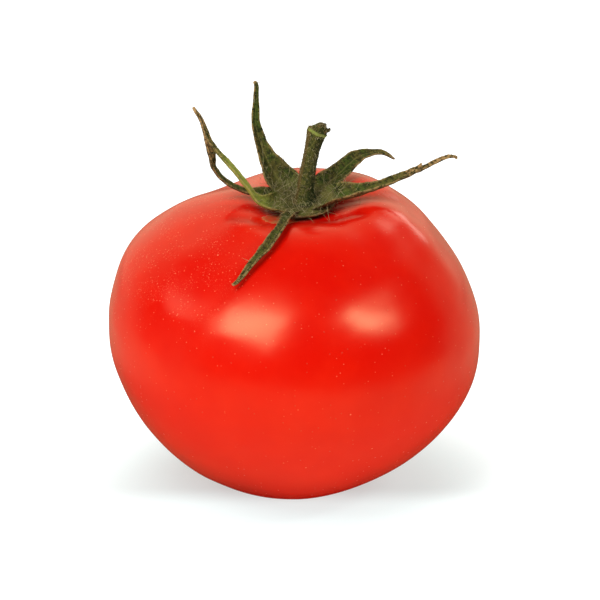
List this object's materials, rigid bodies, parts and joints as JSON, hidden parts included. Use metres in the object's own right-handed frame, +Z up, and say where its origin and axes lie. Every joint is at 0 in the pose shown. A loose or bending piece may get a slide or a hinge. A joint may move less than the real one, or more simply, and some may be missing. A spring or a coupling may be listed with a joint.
{
  "type": "tomato",
  "caption": "Ripe round tomato with dried green calyx and a stub of stem, standing on its blossom end; a whole fresh vegetable to lie on a table, in a bowl or in a crate.",
  "frame": {"origin": "on the surface that the fruit rests on, under the middle of the bounding box", "axes": "+Z up out of the stem end, -Y to the front, where one sepal droops over the shoulder; +X to the right, where the longest sepal points"},
  "size_m": [0.0745, 0.073, 0.0821],
  "materials": {
    "skin": "smooth waxy red skin with a soft gloss, fine pale specks and a corky brown ring at the stem",
    "leaf": "matte, half dried olive green leaf with fine pale hairs and browned edges and tips",
    "stalk": "matte green stem with short hairs, a paler ring at the joint and a rough broken end"
  },
  "bodies": {
    "root": {"fruit": "skin", "calyx": "leaf", "stem": "stalk"}
  },
  "joints": []
}
